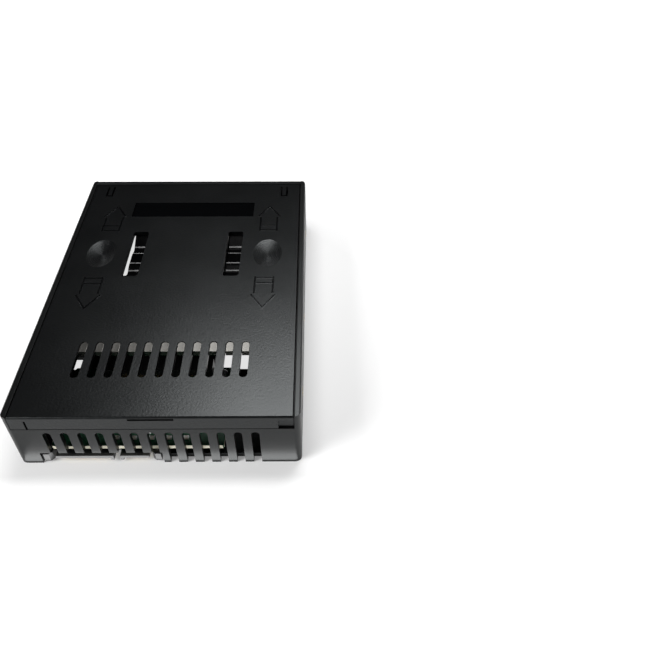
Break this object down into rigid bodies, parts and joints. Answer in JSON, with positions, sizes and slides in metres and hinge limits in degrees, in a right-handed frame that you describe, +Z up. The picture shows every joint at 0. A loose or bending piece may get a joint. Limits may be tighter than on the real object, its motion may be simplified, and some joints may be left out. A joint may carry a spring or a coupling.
{
  "type": "drive bay adapter",
  "caption": "Black moulded carrier with a vented sliding lid that gives a small disk drive the outline, screw holes and rear connector of a larger one.",
  "frame": {"origin": "bottom centre of the tray, on the plane that it stands on", "axes": "+Z up, -Y towards the connector end, +X to the right seen from the connector end"},
  "size_m": [0.1016, 0.1468, 0.0254],
  "materials": {
    "tray_plastic": "satin moulded black",
    "lid_plastic": "fine spark texture, black",
    "pad_foam": "grey foam",
    "spring_steel": "glossy black",
    "board_laminate": "green solder mask",
    "screw_steel": "zinc plated",
    "connector_plastic": "smooth black",
    "contact_metal": "gold flash",
    "tinned_metal": "tinned",
    "chip_ceramic": "ceramic",
    "insert_brass": "turned brass"
  },
  "bodies": {
    "tray": {"base_tray": "tray_plastic", "circuit_board": "board_laminate", "board_screws": "screw_steel", "host_plug_housing": "connector_plastic", "host_plug_power_pins": "contact_metal", "host_plug_data_pins": "contact_metal", "host_plug_board_pegs": "tinned_metal", "drive_socket_housing": "connector_plastic", "drive_socket_power_pins": "contact_metal", "drive_socket_data_pins": "contact_metal", "drive_socket_board_pegs": "tinned_metal", "chip_capacitor_bodies": "chip_ceramic", "chip_capacitor_terminals": "tinned_metal", "side_inserts_left": "insert_brass", "side_inserts_right": "insert_brass", "bottom_inserts": "insert_brass"},
    "lid": {"sliding_lid": "lid_plastic", "lid_pad": "pad_foam", "hold_down_spring_left": "spring_steel", "hold_down_spring_right": "spring_steel"}
  },
  "joints": [
    {"name": "lid_slide", "type": "slide", "parent": "tray", "child": "lid", "axis": [0, -1, 0], "range_m": [0, 0.12]}
  ]
}
